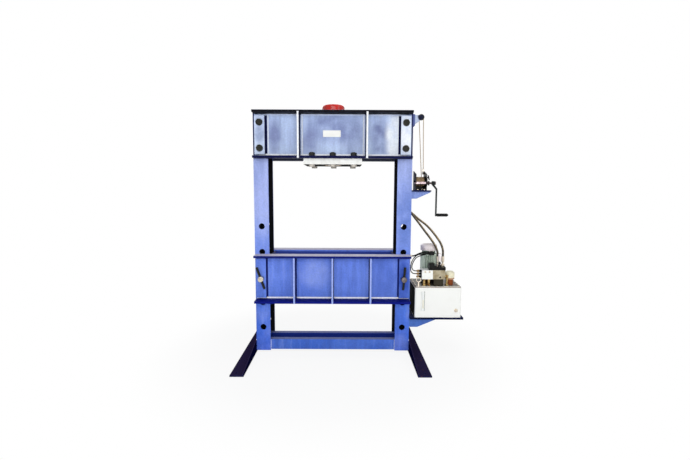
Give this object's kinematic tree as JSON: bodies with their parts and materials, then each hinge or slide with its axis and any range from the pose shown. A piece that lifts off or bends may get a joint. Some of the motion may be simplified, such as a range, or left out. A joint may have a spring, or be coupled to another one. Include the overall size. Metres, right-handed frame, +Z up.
{
  "type": "hydraulic workshop press",
  "caption": "Free-standing H-frame workshop press with a hydraulic ram in the head, a pinned bed, a hand winch and a side power pack.",
  "frame": {"origin": "on the floor, midway between the two uprights and midway between the floor anchor holes", "axes": "+Z up, +X towards the power pack, -Y towards the operator"},
  "size_m": [1.852, 1.184, 2.08],
  "materials": {
    "blue_paint": "gloss",
    "white_paint": "gloss",
    "red_paint": "gloss",
    "bright_steel": "satin",
    "black_bolt": "satin",
    "bronze": "satin",
    "winch_black": "gloss",
    "wire_rope": "satin",
    "zinc": "satin",
    "motor_green": "satin",
    "manifold_steel": "satin",
    "brass": "satin",
    "cream_plastic": "satin",
    "black_plastic": "satin",
    "white_plastic": "gloss",
    "gauge_plastic": "gloss",
    "hose_rubber": "matte",
    "seal_rubber": "matte"
  },
  "bodies": {
    "frame": {"left_upright": "blue_paint", "right_upright": "blue_paint", "head_front_beam": "blue_paint", "head_rear_beam": "blue_paint", "frame_bolts": "black_bolt", "bed_front_beam": "blue_paint", "bed_rear_beam": "blue_paint", "bed_ties": "blue_paint", "lower_ties": "blue_paint", "left_foot": "blue_paint", "right_foot": "blue_paint", "cylinder_plate": "white_paint", "cylinder_barrel": "blue_paint", "cylinder_cap": "red_paint", "gland_bush": "bronze", "sheave_bracket": "blue_paint", "wire_rope": "wire_rope", "rope_eye": "zinc", "winch_bracket": "blue_paint", "winch_frame": "winch_black", "tank_bracket": "blue_paint", "tank": "white_paint", "tank_lid": "white_paint", "level_gauge": "gauge_plastic", "lifting_eye": "zinc", "gear_pump": "manifold_steel", "bell_housing": "winch_black", "motor_body": "motor_green", "fan_cowl": "motor_green", "terminal_box": "black_plastic", "manifold": "manifold_steel", "check_block": "white_paint", "block_unions": "brass", "pressure_switches": "black_plastic", "directional_valve": "winch_black", "line_fittings": "zinc", "hose_extend": "hose_rubber", "hose_retract": "hose_rubber", "supply_cable": "hose_rubber", "switch_lead_front": "hose_rubber", "switch_lead_back": "hose_rubber"},
    "ram": {"ram": "bright_steel", "piston": "bright_steel", "piston_seals": "seal_rubber", "ram_nose": "bright_steel"},
    "left_pin": {"left_pin": "bright_steel", "left_pin_bar": "black_bolt"},
    "right_pin": {"right_pin": "bright_steel", "right_pin_bar": "black_bolt"},
    "drum": {"drum": "winch_black", "rope_coil": "wire_rope"},
    "crank": {"pinion_shaft": "zinc", "crank_arm": "winch_black"},
    "grip": {"crank_grip": "black_plastic"},
    "sheave": {"sheave": "winch_black"},
    "pawl": {"ratchet_pawl": "winch_black"},
    "lever": {"valve_lever": "winch_black", "lever_grip": "white_plastic"},
    "knob": {"relief_knob": "black_plastic"},
    "filler_cap": {"filler_cap": "cream_plastic"}
  },
  "joints": [
    {"name": "ram_slide", "type": "slide", "parent": "frame", "child": "ram", "axis": [0, 0, -1], "range_m": [0, 0.26]},
    {"name": "left_pin_pull", "type": "slide", "parent": "frame", "child": "left_pin", "axis": [0, -1, 0], "range_m": [0, 0.285]},
    {"name": "right_pin_pull", "type": "slide", "parent": "frame", "child": "right_pin", "axis": [0, -1, 0], "range_m": [0, 0.285]},
    {"name": "drum_turn", "type": "hinge", "parent": "frame", "child": "drum", "pos_m": [0.725, -0.045, 1.456], "axis": [1, 0, 0], "continuous": true},
    {"name": "crank_turn", "type": "hinge", "parent": "frame", "child": "crank", "pos_m": [0.82, -0.10357, 1.443], "axis": [1, 0, 0], "continuous": true},
    {"name": "grip_spin", "type": "hinge", "parent": "crank", "child": "grip", "pos_m": [0.905, -0.10357, 1.18], "axis": [1, 0, 0], "continuous": true},
    {"name": "sheave_turn", "type": "hinge", "parent": "frame", "child": "sheave", "pos_m": [0.73, -0.03, 1.986], "axis": [0, 1, 0], "continuous": true},
    {"name": "pawl_drop", "type": "hinge", "parent": "frame", "child": "pawl", "pos_m": [0.79, -0.09357, 1.489], "axis": [1, 0, 0], "range_deg": [0, 20]},
    {"name": "lever_tilt", "type": "hinge", "parent": "frame", "child": "lever", "pos_m": [0.893, -0.128, 0.756], "axis": [1, 0, 0], "range_deg": [-12, 12], "stiffness_Nm_per_rad": 3},
    {"name": "knob_turn", "type": "hinge", "parent": "frame", "child": "knob", "pos_m": [0.825, -0.161, 0.758], "axis": [0, 1, 0], "range_deg": [-360, 360]},
    {"name": "cap_lift", "type": "slide", "parent": "frame", "child": "filler_cap", "axis": [0, 0, 1], "range_m": [0, 0.08]}
  ],
  "couplings": [
    {"joint": "crank_turn", "follows": "drum_turn", "ratio": -4}
  ]
}
